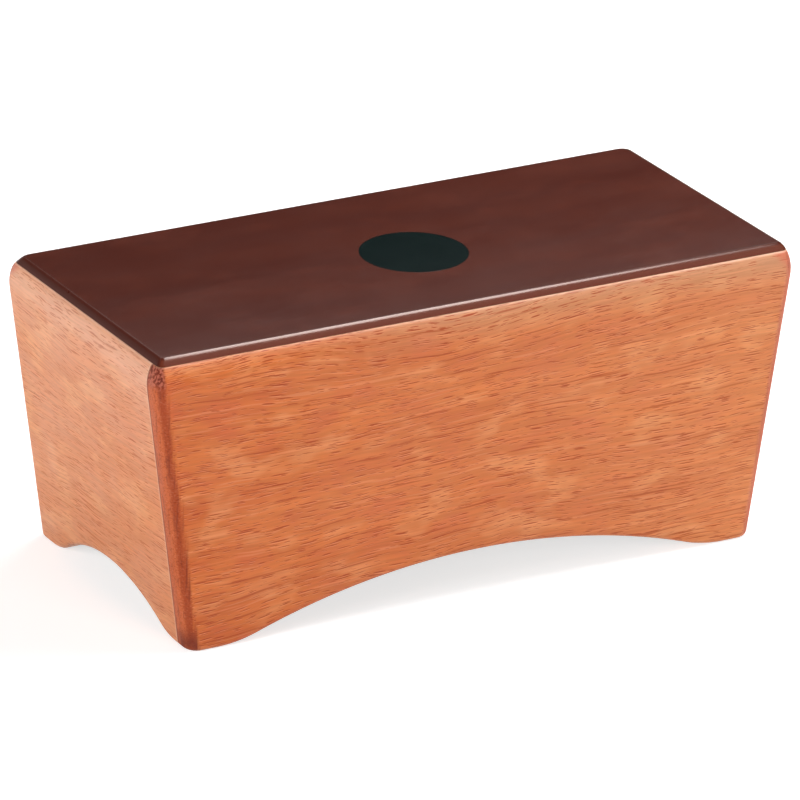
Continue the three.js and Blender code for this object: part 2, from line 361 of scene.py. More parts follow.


# Stained and lacquered wood of the panels, raw on the inside. Steps on boards go by their paleness, which is
# partly painted light, the others by noise, by the share of a corner's bend, or by metres from the seam, the
# arch or the joint
panelLook = {
    "light": (0.63, 0.157, 0.0297, 1),
    "deep": (0.535, 0.109, 0.0163, 1),
    "red": (0.555, 0.103, 0.026, 1),
    "pale": (0.75, 0.285, 0.102, 1),
    # painted highlight on the lower lip of each pore, as if lit from above
    "lip": (0.86, 0.38, 0.18, 1),
    "pore": (0.36, 0.040, 0.005, 1),
    "endGrain": (0.32, 0.044, 0.007, 1),
    "endPale": (0.53, 0.112, 0.034, 1),  # painted light: the part of the end grain that faces along the fibres, to the side, paler as if lit there
    "endDark": (0.14, 0.016, 0.006, 1),
    "mottlePale": (0.50, 0.140, 0.085, 1),  # blotches of the corner under the plate
    "endTint": (0.62, 0.150, 0.085, 1),  # stain that crept in from the ends
    "glue": (0.27, 0.058, 0.024, 1),
    "sanded": (0.84, 0.49, 0.35, 1),  # painted highlight along the seam, over the round-over and beside the joint; also the pale specks of sanded end grain
    "faded": (0.50, 0.29, 0.17, 1),  # painted sheen below the plate, where a board is neither dark nor very pale
    "raw": (0.60, 0.40, 0.22, 1),
    "rawDeep": (0.47, 0.28, 0.14, 1),
    "worn": (0.66, 0.30, 0.12, 1),
    "grain": {"Tilt": 0.02, "Wave": 0.034, "Pore Size": 0.23},
    "bandStep": (0.36, 0.66),
    "redStep": (0.50, 0.70, 0.0, 0.65),
    "palerStep": (0.50, 0.30, 0.0, 0.45),
    "beltTop": (0.0, 0.006),  # painted highlight band on the pale boards
    "beltFoot": (0.017, 0.008, 0.0, 0.4),
    # painted sheen: the pale boards grow lighter towards the seam
    "highStep": (0.055, 0.0, 0.0, 0.4),
    "highBoards": (0.35, 0.65, 0.0, 0.7),
    # painted highlight just under the seam
    "rubStep": (0.007, 0.0, 0.0, 0.18),
    "fadeStep": (0.02, 0.002, 0.0, 0.5),
    "fadeFrom": (0.05, 0.25),  # painted sheen near the seam; this and the next one go by paleness
    "fadeTo": (0.6, 0.5),
    "fibreStep": (0.3, 0.7, 0.92, 1.07),
    "lipShare": 0.36,
    "poreBoards": (0.2, 0.8, 0.88, 0.42),
    "tintStep": (0.022, 0.0145),
    "tintBoards": (0.1, 0.3),
    "tintHigh": (0.009, 0.003, 0.3, 0.75),
    "tintBend": (0.02, 0.2, 0.0, 0.8),
    "blotchScale": (150, 60, 150),
    "streakScale": (700, 25, 700),
    "speckScale": (420, 1000, 1000),
    "mottleScale": (720, 560, 720),
    "blotchRag": 0.15,
    "streakRag": 0.3,
    "mottleRag": 0.008,
    "cutStep": (0.06, 0.38),  # over this share of the bend the cut fibres begin
    "endStep": (0.50, 0.72),
    "speckPale": (0.46, 0.30, 0.0, 0.08),
    "speckDark": (0.54, 0.68, 0.0, 0.45),
    "drinkBoards": (0.0, 0.5, 0.92, 0.25),
    "soakSeam": (0.014, 0.006),
    "soakArch": (0.018, 0.003),
    "soakBlotch": (0.36, 0.56, 0.3, 0.95),
    "soakStreak": (0.54, 0.68, 0.0, 0.5),
    "mottleTone": (0.40, 0.58),
    "mottleStep": (0.0125, 0.0080, 0.0, 0.85),
    # painted highlight in a strip beside the glue line
    "besideJoint": (0.0018, 0.0010, 0.0, 0.45),
    "besideBend": (0.4, 0.2),
    "glueStep": (0.0008, 0.0003, 0.0, 0.85),
    # painted highlight along the seam
    "seamStep": (0.0011, 0.0003),
    "seamBoards": (0.0, 0.6, 0.12, 0.75),
    "wearReach": 0.0016,
    "wearShare": 0.45,
    "rawStep": (0.35, 0.65),
    "rawPore": 0.45,
    "coatStep": (0.18, 0.3),
    "cloudScale": (30, 30, 30),
    "roughStep": (0.3, 0.7, 0.35, 0.46),
    "poreRough": 0.2,
    "cutRough": 0.2,
    "rawRough": 0.75,
    "fibreRelief": 0.35,
    "cutRelief": (0.0, 1.0, 1.0, 0.2),
    "bump": {"Strength": 0.2, "Distance": 0.0003},
    "ior": 1.45,
}


# Face of a panel: banded stain with red and pale patches, a painted highlight and painted sheen below the
# seam, then lighter and darker fibres, painted highlights on the pore lips and dark pores over it
def panelFace(tree, look, grain, toSeam, paleness):
    colour = layOver(tree, look, look["light"], "deep", grain["Bands"], "bandStep")
    colour = layOver(tree, look, colour, "red", grain["Patches"], "redStep")
    paler = calc(tree, "ADD", step(tree, grain["Patches"], *look["palerStep"]), paleness, clamp=True)
    colour = blendColour(tree, paler, colour, look["pale"])
    # painted highlight band, painted sheen towards the top and a painted highlight just under the seam
    belt = times(tree, step(tree, toSeam, *look["beltTop"]), step(tree, toSeam, *look["beltFoot"]))
    high = calc(tree, "ADD", step(tree, toSeam, *look["highStep"]), belt)
    high = times(tree, high, step(tree, paleness, *look["highBoards"]))
    paintedHighlight = calc(tree, "ADD", step(tree, toSeam, *look["rubStep"]), high)
    colour = blendColour(tree, paintedHighlight, colour, look["sanded"])
    # painted sheen on the round-over below the plate
    halfPale = times(tree, step(tree, paleness, *look["fadeFrom"]), step(tree, paleness, *look["fadeTo"]))
    sheenShare = times(tree, halfPale, step(tree, toSeam, *look["fadeStep"]))
    colour = blendColour(tree, sheenShare, colour, look["faded"])
    fibre = step(tree, grain["Fibres"], *look["fibreStep"])
    shade = put(tree, "ShaderNodeCombineXYZ", {0: fibre, 1: fibre, 2: fibre}).outputs[0]
    colour = blendColour(tree, 1.0, colour, shade, "MULTIPLY")
    # painted highlights on the lips of the pores
    colour = layOver(tree, look, colour, "lip", grain["Lips"], "lipShare")
    poreDepth = times(tree, grain["Pores"], step(tree, paleness, *look["poreBoards"]))
    return blendColour(tree, poreDepth, colour, look["pore"])


# Round corner: its bend, made ragged by noise, tells where the fibres are cut. There the end grain drinks
# more stain than the face, soaked darkest near the seam and the arch, and mottled under the plate; where it
# faces the side it is paler, as painted light
def panelCorner(tree, look, place, colour, bend, toSeam, toArch, paleness):
    blotch = noise(tree, stretch(tree, place, look["blotchScale"]))
    streak = noise(tree, stretch(tree, place, look["streakScale"]))
    speck = noise(tree, stretch(tree, place, look["speckScale"]), detail=1.0)
    mottle = noise(tree, stretch(tree, place, look["mottleScale"]), detail=3.0)
    ragged = calc(tree, "ADD", aboutMiddle(tree, streak, look["streakRag"]),
                  aboutMiddle(tree, blotch, look["blotchRag"]))
    turned = calc(tree, "ADD", bend, ragged)
    cut = step(tree, turned, *look["cutStep"])
    # painted light: paler where the corner faces the side
    endColour = layOver(tree, look, look["endGrain"], "endPale", turned, "endStep")
    endColour = layOver(tree, look, endColour, "sanded", speck, "speckPale")
    endColour = layOver(tree, look, endColour, "endDark", speck, "speckDark")
    drunk = times(tree, cut, step(tree, paleness, *look["drinkBoards"]))
    colour = blendColour(tree, drunk, colour, endColour)
    nearSeam = step(tree, toSeam, *look["soakSeam"])
    nearEnds = calc(tree, "MAXIMUM", nearSeam, step(tree, toArch, *look["soakArch"]))
    soaked = times(tree, nearEnds, step(tree, blotch, *look["soakBlotch"]))
    soaked = calc(tree, "MAXIMUM", soaked, step(tree, streak, *look["soakStreak"]))
    colour = blendColour(tree, times(tree, soaked, drunk), colour, look["endDark"])
    uneven = calc(tree, "ADD", toSeam, aboutMiddle(tree, mottle, look["mottleRag"]))
    mottled = layOver(tree, look, look["mottlePale"], "endDark", mottle, "mottleTone")
    blotched = times(tree, step(tree, uneven, *look["mottleStep"]), drunk)
    return blendColour(tree, blotched, colour, mottled), cut


# Panel wood: the face, tinted near a cut end, then the corner, the glue line with a painted highlight in a
# strip beside it, a painted highlight along the seam and the worn arch; what is not coated shows raw wood
def makePanelWood():
    look = panelLook
    material, tree, shader = newMaterial("panelWood")
    place = field(tree, "grainAt")
    toJoint, toArch, toSeam = parts(tree, field(tree, "edgeAt"))
    finished, bend, paleness = parts(tree, field(tree, "finishAt"))
    toEnd = parts(tree, field(tree, "endAt"))[0]
    grain = grainOn(tree, look, place)
    colour = panelFace(tree, look, grain, toSeam, paleness)
    fromEnd = times(tree, step(tree, toEnd, *look["tintStep"]), step(tree, paleness, *look["tintBoards"]))
    tint = calc(tree, "MAXIMUM", step(tree, toSeam, *look["tintHigh"]), step(tree, bend, *look["tintBend"]))
    colour = blendColour(tree, times(tree, fromEnd, tint), colour, look["endTint"])
    colour, cut = panelCorner(tree, look, place, colour, bend, toSeam, toArch, paleness)
    # painted highlight beside the glue line, on the flat side of the joint
    beside = times(tree, step(tree, toJoint, *look["besideJoint"]), step(tree, bend, *look["besideBend"]))
    colour = blendColour(tree, beside, colour, look["sanded"])
    colour = layOver(tree, look, colour, "glue", toJoint, "glueStep")
    # painted highlight along the seam, strongest on the pale boards
    paintedHighlight = times(tree, step(tree, toSeam, *look["seamStep"]), step(tree, paleness, *look["seamBoards"]))
    colour = blendColour(tree, paintedHighlight, colour, look["sanded"])
    colour = wearOn(tree, look, place, toArch, colour)

    rawWood = layOver(tree, look, look["raw"], "rawDeep", grain["Bands"], "rawStep")
    rawWood = layOver(tree, look, rawWood, "pore", grain["Pores"], "rawPore")
    coated = step(tree, finished, *look["coatStep"])
    colour = blendColour(tree, coated, rawWood, colour)
    cloud = noise(tree, stretch(tree, place, look["cloudScale"]))
    dull = times(tree, grain["Pores"], look["poreRough"])
    smooth = calc(tree, "ADD", step(tree, cloud, *look["roughStep"]), dull)
    smooth = calc(tree, "ADD", smooth, times(tree, cut, look["cutRough"]))
    rough = put(tree, "ShaderNodeMix", {0: coated, 2: look["rawRough"], 3: smooth}).outputs[0]
    relief = calc(tree, "SUBTRACT", times(tree, grain["Fibres"], look["fibreRelief"]), grain["Pores"])
    relief = times(tree, relief, step(tree, cut, *look["cutRelief"]))
    finishShader(tree, shader, look, colour, rough, relief)
    return material


# Arched bottom edges, the fineness of a panel and the eased edges
archLook = {
    "face": {"foot": 0.018, "rise": 0.0265, "blend": 0.076, "columns": 141},
    "end": {"foot": 0.018, "rise": 0.0203, "blend": 0.030, "columns": 85},
}
panelEase = {
    "outer": 0.003,
    "inner": 0.0008,
    "tail": 0.004,  # what the columns of a rounded end take up on the inside
    "turns": 7,
    "endColumns": 4,
    "bendColumns": 14,
    "faceRows": 26,
    "roundRows": 12,
    "lookups": 3,  # rounds in which the eased edge settles on the arch
}


# Bottom edge at a distance along the panel: a large circle in the middle and a smaller one,
# the other way round, that rises out of each foot; they touch where the line of centres passes
def archHeight(along, halfSpan, rise, blend):
    radius = (halfSpan ** 2 / rise + rise) / 2 - blend
    meet = halfSpan * radius / (radius + blend)
    reach = np.abs(along)
    middle = rise - radius + np.sqrt(np.maximum(radius ** 2 - reach ** 2, 0))
    fromFoot = np.clip(halfSpan - reach, 0, blend)
    foot = blend - np.sqrt(blend ** 2 - fromFoot ** 2)
    return np.where(reach < meet, middle, np.where(reach < halfSpan, foot, 0.0))


# Columns of one end of a panel, from its glued edge inwards: "lip" marks the eased edge itself, "end"
# falls from the joint to the corner, "bend" is the corner's angle; a plain end has only its lip
def endColumns(rounded):
    ends, bends = (panelEase["endColumns"], panelEase["bendColumns"]) if rounded else (0, 0)
    lip = np.concatenate([[1], np.zeros(ends + bends)])
    end = np.concatenate([[float(rounded)], np.linspace(1, 0, ends + 1)[:ends], np.zeros(bends)])
    bend = np.concatenate([np.full(1 + ends, float(rounded)), np.linspace(1, 0, bends + 1)[:bends]])
    tail = np.linspace(1, 0, len(lip) + 1)[:-1]
    return {"lip": lip, "end": end, "bend": bend * math.pi / 2, "tail": tail}


# All columns of a panel: "share" runs from 0 to 1 along the flat face, "side" tells the two ends apart
def panelColumns(faceColumns, roundEnds):
    first, last = endColumns(roundEnds[0]), endColumns(roundEnds[1])
    still = np.zeros(faceColumns)
    columns = {key: np.concatenate([first[key], still, last[key][::-1]]) for key in first}
    before, after = np.ones(len(first["lip"])), np.ones(len(last["lip"]))
    columns["share"] = np.concatenate([0 * before, np.linspace(0, 1, faceColumns), after])
    columns["side"] = np.concatenate([-before, still, after])
    return columns


# One panel, drawn as the front one: rows run up the outside from the arch to the seam and down
# again on the inside; a rounded end bends round the corner, a plain one stops at its neighbour
def panelSurface(name, turn, halfAlong, halfAcross, arch, board, material):
    ease, thick, chamfer = panelEase, shell["panel"], shell["seamEase"]
    roundEnds = board["roundEnds"]
    columns = panelColumns(arch["columns"], roundEnds)
    lip, end, bend, tail = (columns[key] for key in ("lip", "end", "bend", "tail"))
    share, side = columns["share"], columns["side"]
    halfSpan = halfAlong(0) - arch["foot"]
    isRound = np.where(share < 0.5, *roundEnds)
    lipSide = np.where(isRound, -1, 1) * lip

    # a plain end stops short of its neighbour by the glue gap and its own chamfer
    def plainEnd(z):
        return halfAlong(z) - thick - shell["glueGap"] - chamfer

    # place along the panel: a share of the way between its two starts, then outwards by a reach
    def along(starts, reach):
        first, last = starts
        return share * (first + last) - first + side * reach

    # outside: the flat face, the corner's quarter circle by its angle, and the flat of the end behind it
    def outer(z, inset):
        corner = cornerLeft(inset, board["rearCorners"])
        rounded = halfAlong(z) - inset - corner
        starts = [rounded if kind else plainEnd(z) for kind in roundEnds]
        flat = thick - inset - corner - chamfer
        x = along(starts, corner * np.sin(bend) + chamfer * lipSide)
        y = end * flat + lip * chamfer - (halfAcross(z) - inset) + corner * (1 - np.cos(bend))
        return x, y

    # inside: one flat face, the panel's thickness less the inset behind the outer one
    def inner(z, inset):
        rounded = halfAlong(z) - roundInset(z) - 2 * ease["tail"]
        starts = [rounded if kind else plainEnd(z) for kind in roundEnds]
        room = np.where(isRound, ease["tail"], chamfer)
        return along(starts, room * tail), 0 * share + (thick - inset) - halfAcross(z)

    # the inside is not rounded over
    def noInset(z):
        return 0 * z

    # height of the arch at a place along the panel
    def bottomAt(x):
        return archHeight(x, halfSpan, arch["rise"], arch["blend"])

    turns = np.linspace(math.pi / 2, 0, ease["turns"])[:, None]
    climb = np.linspace(0, 1, ease["faceRows"])[1:, None]
    roundHeights = np.linspace(roundStart, seam - chamfer, ease["roundRows"])[1:, None]
    lipZ = np.full((1, len(lip)), seam)

    # rows of one side, from its eased bottom edge up to its lip at the seam; the height of the arch is
    # looked up again at each point's own place along the panel
    def sideRows(at, drawIn, radius):
        bottom = bottomAt(at(0.0, 0.0)[0])
        for _ in range(ease["lookups"]):
            easedZ = bottom + radius * (1 - np.sin(turns))
            easedX, easedY = at(easedZ, radius * (1 - np.cos(turns)))
            bottom = bottomAt(easedX)
        faceZ = (bottom[-1] + radius) * (1 - climb) + roundStart * climb
        risingZ = np.concatenate([faceZ, roundHeights + 0 * lip])
        eased = np.stack([easedX, easedY, easedZ], -1)
        rising = np.stack([*at(risingZ, drawIn(risingZ)), risingZ], -1)
        atSeam = np.stack([*at(lipZ, drawIn(lipZ) + chamfer), lipZ], -1)
        return np.concatenate([eased, rising, atSeam])

    # both sides have the same count of rows, so that the ends close as one strip
    outRows = sideRows(outer, roundInset, ease["outer"])
    inRows = sideRows(inner, noInset, ease["inner"])
    points = np.concatenate([outRows, inRows[::-1]])
    half, count = len(outRows), len(lip)
    faces = gridFaces(2 * half, count, wrapRows=True).tolist()
    low = np.arange(half - 1)
    start = np.stack([low, low + 1, 2 * half - 2 - low, 2 * half - 1 - low], -1) * count
    faces += start.tolist() + (start[:, ::-1] + count - 1).tolist()

    # what the wood shader reads: place in the plank, distances to the edges, finish, bend and tone, which is
    # partly painted light
    px, py, pz = points[..., 0], points[..., 1], points[..., 2]
    outside = np.repeat([1.0, 0.0], half)[:, None] + 0 * px
    depth = py + halfAcross(pz)
    grainAt = np.stack([px, pz, depth], -1) + np.array(board["seed"])
    toPlain = halfAlong(pz) - np.abs(px) - thick
    toRound = thick - depth + np.maximum(halfAlong(pz) - roundInset(pz) - np.abs(px), 0)
    toJoint = np.where(outside > 0, np.where(isRound, toRound, toPlain), 1.0)
    edgeAt = np.stack([toJoint, pz - bottomAt(px), seam - pz], -1)
    turned = outside * bend / (math.pi / 2)
    toneAndLight = board["paleness"][0] * (1 - share) + board["paleness"][1] * share
    finishAt = np.stack(np.broadcast_arrays(outside, turned, toneAndLight), -1)
    toEnd = np.where(outside * isRound > 0, toRound, 1.0)
    endAt = np.stack([toEnd, 0 * toEnd, 0 * toEnd], -1)
    fields = {"grainAt": grainAt, "edgeAt": edgeAt, "finishAt": finishAt, "endAt": endAt}
    addPiece(name + "_wood", quarterTurn(points, turn), faces, fields, material, name)


# For each panel its place in the plank's grain, how much paler it is at its two ends, which of the ends
# bend round a corner, and whether those are the front (0) or the rear (1) corners. The paleness is partly
# the board's own tone and partly painted light: the front board pales towards its right end and the left
# board is paler, as if more light fell there
boards = {
    "front": {
        "seed": (0.31, 0.11, 0.02),
        "paleness": (0.0, 0.45),
        "roundEnds": (True, True),
        "rearCorners": 0,
    },
    "right": {
        "seed": (1.73, 0.42, 0.08),
        "paleness": (0.3, 0.2),
        "roundEnds": (False, True),
        "rearCorners": 1,
    },
    "rear": {
        "seed": (3.19, 0.77, 0.05),
        "paleness": (0.2, 0.0),
        "roundEnds": (False, False),
        "rearCorners": 1,
    },
    "left": {
        "seed": (5.07, 1.31, 0.11),
        "paleness": (0.7, 0.6),
        "roundEnds": (True, False),
        "rearCorners": 1,
    },
}
panelWood = makePanelWood()
for turn, (sideName, board) in enumerate(boards.items()):
    facing = turn % 2 == 0
    halves = (halfLength, halfWidth) if facing else (halfWidth, halfLength)
    arch = archLook["face" if facing else "end"]
    panelSurface(sideName + "_panel", turn, *halves, arch, board, panelWood)
print("panels done")

# Plate: dark stain under glossy lacquer, raw underneath
plateLook = {
    "base": (0.077, 0.0148, 0.0079, 1),
    "dark": (0.065, 0.0114, 0.0062, 1),
    "streak": (0.094, 0.0187, 0.0097, 1),
    "varnish": (1.0, 0.78, 0.70, 1),  # reddish tint of the gloss
    "edge": (0.125, 0.0280, 0.0150, 1),  # the long round-overs, lighter and redder than the flat
    "endGrain": (0.068, 0.0146, 0.0090, 1),  # the short ones, where the fibres are cut
    "raw": (0.50, 0.32, 0.17, 1),
    "worn": (0.20, 0.06, 0.03, 1),
    "shift": (7.3, 0.9, 0.4),  # place in the sheet's grain
    "grain": {"Tilt": 0.02, "Wave": 0.02, "Pore Size": 0.2},
    "bandStep": (0.35, 0.68),
    "streakStep": (0.45, 0.75, 0.0, 0.7),
    "poreShare": 0.3,
    "edgeStep": (0.0050, 0.0036),  # metres up the round-over from the seam
    "endStep": (0.0004, -0.0004),  # metres inside the end of the flat top
    "wearReach": 0.0009,
    "wearShare": 0.15,
    "coatStep": (0.4, 0.6),
    "cloudScale": (18, 30, 30),
    "roughStep": (0.3, 0.7, 0.15, 0.18),
    "endRough": 0.12,
    "rawRough": 0.75,
    "fibreRelief": 0.4,
    "bump": {"Strength": 0.04, "Distance": 0.0003},
    "ior": 1.45,
    "discGap": 0.0001,
    "recessRing": 0.5,  # ring on the floor of the recess, as a share of its radius
    "cornerColumns": 12,
    "lengthColumns": 96,
    "widthColumns": 48,
    "roundRows": 6,
    "edgeRows": 14,
    "topRings": 5,
    "firstRing": 0.985,  # close inside the edge, so that the top stays flat in the light
}


# Plate wood: bands, streaks and faint pores, then the two kinds of round-over and the worn seam; the
# cut ends are duller than the rest
def makePlateWood():
    look = plateLook
    material, tree, shader = newMaterial("plateWood")
    place = field(tree, "grainAt")
    toRim, finished, toEnd = parts(tree, field(tree, "finishAt"))
    grain = grainOn(tree, look, place)
    colour = layOver(tree, look, look["base"], "dark", grain["Bands"], "bandStep")
    colour = layOver(tree, look, colour, "streak", grain["Patches"], "streakStep")
    colour = layOver(tree, look, colour, "dark", grain["Pores"], "poreShare")
    colour = layOver(tree, look, colour, "edge", toRim, "edgeStep")
    colour = layOver(tree, look, colour, "endGrain", toEnd, "endStep")
    colour = wearOn(tree, look, place, toRim, colour)
    coated = step(tree, finished, *look["coatStep"])
    colour = blendColour(tree, coated, look["raw"], colour)
    cloud = noise(tree, stretch(tree, place, look["cloudScale"]), detail=3.0)
    dull = step(tree, toEnd, *look["endStep"], 0.0, look["endRough"])
    smooth = calc(tree, "ADD", step(tree, cloud, *look["roughStep"]), dull)
    rough = put(tree, "ShaderNodeMix", {0: coated, 2: look["rawRough"], 3: smooth}).outputs[0]
    relief = calc(tree, "SUBTRACT", times(tree, grain["Fibres"], look["fibreRelief"]), grain["Pores"])
    finishShader(tree, shader, look, colour, rough, relief)
    shader.inputs["Specular Tint"].default_value = look["varnish"]
    return material


# Plate: rings round the box's outline, from the middle of the underside out to the seam,
# up the round-over and in again over the flat top
def plateSurface(name, material):
    look, ease = plateLook, shell["seamEase"]
    quarter = np.linspace(0, math.pi / 2, look["cornerColumns"] + 1)
    longRun = np.linspace(0, 1, look["lengthColumns"] + 1)[1:-1]
    shortRun = np.linspace(0, 1, look["widthColumns"] + 1)[1:-1]
    signsX, signsY = (1, -1, -1, 1), (1, 1, -1, -1)
    cornerX, cornerY, cosine, sine = [], [], [], []
    for index in range(4):
        angle = quarter + index * math.pi / 2
        cornerX.append(np.full(len(angle), signsX[index]))
        cornerY.append(np.full(len(angle), signsY[index]))
        cosine.append(np.cos(angle))
        sine.append(np.sin(angle))
        run = longRun if index % 2 == 0 else shortRun
        after = (index + 1) % 4
        cornerX.append(signsX[index] + (signsX[after] - signsX[index]) * run)
        cornerY.append(signsY[index] + (signsY[after] - signsY[index]) * run)
        cosine.append(np.full(len(run), np.round(math.cos(angle[-1]))))
        sine.append(np.full(len(run), np.round(math.sin(angle[-1]))))
    cornerX, cornerY, cosine, sine = (np.concatenate(part) for part in (cornerX, cornerY, cosine, sine))

    # one ring: straight runs between four corner centres, with a quarter circle about each
    def ring(z, inset):
        corner = cornerLeft(inset, (1 + cornerY) / 2)
        x = cornerX * (halfLength(z) - inset - corner) + cosine * corner
        y = cornerY * (halfWidth(z) - inset - corner) + sine * corner
        return np.stack(np.broadcast_arrays(x, y, z), -1)

    startAngle = math.asin((seam + ease - roundStart) / shell["topRound"])
    largeTurns = np.linspace(startAngle, shell["topTurn"], look["roundRows"])[:, None]
    smallTurns = np.linspace(shell["topTurn"], math.pi / 2, look["edgeRows"])[1:, None]
    largeZ = roundStart + shell["topRound"] * np.sin(largeTurns)
    smallZ = topLevel - shell["edgeRound"] * (1 - np.sin(smallTurns))
    roundZ = np.concatenate([largeZ, smallZ])
    lip = ring(np.array([[seam]]), roundInset(np.array([[seam]])) + ease)
    over = ring(roundZ, roundInset(roundZ))
    shrink = np.linspace(1, 0, look["topRings"] + 1)[1:-1, None]
    shrink = np.concatenate([[[look["firstRing"]]], shrink])
    under = lip * np.stack([shrink[::-1], shrink[::-1], np.ones_like(shrink)], -1)

    # the flat top runs in to the rim of the recess, along lines from the disc's middle
    centre = np.array((discBox[0] + discBox[1]) / 2)[:2]
    recess = (discBox[1].x - discBox[0].x) / 2 + look["discGap"]
    away = over[-1, :, :2] - centre
    way = away / np.linalg.norm(away, axis=1, keepdims=True)
    reach = np.linalg.norm(away, axis=1) * shrink + recess * (1 - shrink)

    # flat ring: the disc's middle plus a radius along each line
    def level(radius, z):
        flatXY = centre + way * radius[..., None]
        return np.concatenate([flatXY, np.full(flatXY.shape[:2] + (1,), z)], -1)

    rim = np.full((1, len(way)), recess)
    flat = np.concatenate([level(reach, topLevel), level(rim, topLevel)])
    floorRings = np.concatenate([level(rim, discBox[0].z), level(rim * look["recessRing"], discBox[0].z)])
    flat = np.concatenate([flat, floorRings])
    points = np.concatenate([under, lip, over, flat])
    rows, count = points.shape[:2]
    faces = ringFaces(rows, count)
    middle = np.array([[0, 0, seam], [*centre, discBox[0].z]])
    points = np.concatenate([points.reshape(-1, 3), middle])
    finished = (np.arange(rows) > len(under)).repeat(count)
    finished = np.concatenate([finished, [False, True]]).astype(float)
    toRim = np.concatenate([np.linalg.norm(over - over[:1], axis=-1).max(1), np.full(len(flat), 1.0)])
    toRim = np.concatenate([np.ones(len(under) + 1), toRim]).repeat(count)
    toRim = np.concatenate([toRim, [1.0, 1.0]])
    flatEnd, flatSide = over[-1, :, 0].max(), over[-1, :, 1].max()
    pastSide = np.maximum(np.abs(points[:, 1]) - flatSide, 0)
    toEnd = flatEnd + pastSide - np.abs(points[:, 0])
    fields = {
        "grainAt": points + np.array(look["shift"]),
        "finishAt": np.stack([toRim, finished, toEnd], -1),
    }
    addPiece(name + "_wood", points, faces, fields, material, name)


plateSurface("playing_plate", makePlateWood())
print("plate done")

# Round patch on the plate: a thin plain glossy print
discLook = {
    "ink": (0.0008, 0.0060, 0.0056, 1),
    "inkPale": (0.0016, 0.0075, 0.0070, 1),
    "fleckScale": (900, 900, 900),
    "cloudScale": (60, 60, 60),
    "cloudStep": (0.3, 0.7),
    "fleckStep": (0.62, 0.72, 0.0, 0.3),
    "roughStep": (0.3, 0.7, 0.16, 0.20),
    "bump": {"Strength": 0.02, "Distance": 0.0001},
    "ior": 1.2,
    "rim": 0.0001,
    "underRing": 0.5,  # ring on the underside, as a share of the radius
    "columns": 128,
    "rimTurns": 4,
    "rings": 6,
}


# Print: two inks mixed by a cloud, with fine flecks that also give the relief and the roughness
def makeDiscPrint():
    look = discLook
    material, tree, shader = newMaterial("discPrint")
    place = put(tree, "ShaderNodeTexCoord").outputs["Object"]
    fleck = noise(tree, stretch(tree, place, look["fleckScale"]))
    cloud = noise(tree, stretch(tree, place, look["cloudScale"]))
    colour = layOver(tree, look, look["ink"], "inkPale", cloud, "cloudStep")
    colour = layOver(tree, look, colour, "inkPale", fleck, "fleckStep")
    finishShader(tree, shader, look, colour, step(tree, fleck, *look["roughStep"]), fleck)
    return material


# Disc: a profile of radius and height, spun about its own upright axis
def discSurface(name, material):
    look = discLook
    low, high = discBox[0].z, discBox[1].z
    centre = (discBox[0] + discBox[1]) / 2
    radius = (discBox[1].x - discBox[0].x) / 2
    turns = np.linspace(0, math.pi / 2, look["rimTurns"] + 1)
    rimR = radius - look["rim"] * (1 - np.cos(turns))
    rimZ = high - look["rim"] * (1 - np.sin(turns))
    inR = np.concatenate([[rimR[-1] - look["rim"]], np.linspace(rimR[-1], 0, look["rings"] + 1)[1:-1]])
    profileR = np.concatenate([[radius * look["underRing"], radius], rimR, inR])
    profileZ = np.concatenate([[low, low], rimZ, np.full(len(inR), high)])
    spin = np.arange(look["columns"]) / look["columns"] * 2 * math.pi
    x = centre.x + profileR[:, None] * np.cos(spin)
    y = centre.y + profileR[:, None] * np.sin(spin)
    points = np.stack(np.broadcast_arrays(x, y, profileZ[:, None]), -1)
    rows, count = points.shape[:2]
    faces = ringFaces(rows, count)
    middle = np.array([[centre.x, centre.y, low], [centre.x, centre.y, high]])
    points = np.concatenate([points.reshape(-1, 3), middle])
    addPiece(name + "_print", points, faces, {}, material, name)


discSurface("plate_disc", makeDiscPrint())
print("disc done")

# Strips, blocks and divider inside the box
innerLook = {
    "pale": (0.62, 0.43, 0.245, 1),
    "deep": (0.50, 0.31, 0.155, 1),
    "pore": (0.30, 0.16, 0.07, 1),
    "grain": {"Tilt": 0.01, "Wave": 0.006, "Pore Size": 0.2},
    "bandStep": (0.34, 0.66),
    "poreShare": 0.5,
    "fibreStep": (0.3, 0.7, 0.0, 0.25),
    "roughStep": (0.3, 0.7, 0.66, 0.8),
    "bump": {"Strength": 0.3, "Distance": 0.0004},
    "ior": 1.5,
    "ease": 0.0007,
    "firstSeed": 5,
}
plyLook = {
    "face": (0.56, 0.36, 0.19, 1),
    "faceDeep": (0.45, 0.26, 0.125, 1),
    "core": (0.40, 0.235, 0.115, 1),
    "glue": (0.16, 0.08, 0.04, 1),
    "plies": 5,
    "grain": {"Tilt": 0.03, "Wave": 0.02, "Pore Size": 0.2},
    "bandStep": (0.34, 0.66),
    "poreShare": 0.4,
    "glueStep": (0.09, 0.03, 0.0, 0.8),  # in thicknesses of a ply
    "roughStep": (0.3, 0.7, 0.6, 0.75),
    "bump": {"Strength": 0.2, "Distance": 0.0003},
    "ior": 1.5,
    "ease": 0.0004,
    "seed": 3,
}
prismLook = {
    "turns": 4,
    "startAngle": -78,  # degrees, where the arc of an eased end begins
    "seedShift": (0.37, 0.11, 0.053),  # from one piece's place in the grain to the next
    "digits": 6,  # corners that agree to this many are one
    "axes": {"x": (0, 1, 2), "y": (1, 0, 2), "z": (2, 0, 1), "sheet": (1, 2, 0)},  # grain axes first to last
}


# Raw softwood: bands, pores and fibres, all from the grain
def makeInnerWood():
    look = innerLook
    material, tree, shader = newMaterial("innerWood")
    grain = grainOn(tree, look, field(tree, "grainAt"))
    colour = layOver(tree, look, look["pale"], "deep", grain["Bands"], "bandStep")
    colour = layOver(tree, look, colour, "pore", grain["Pores"], "poreShare")
    colour = layOver(tree, look, colour, "deep", grain["Fibres"], "fibreStep")
    rough = step(tree, grain["Fibres"], *look["roughStep"])
    finishShader(tree, shader, look, colour, rough, grain["Fibres"])
    return material


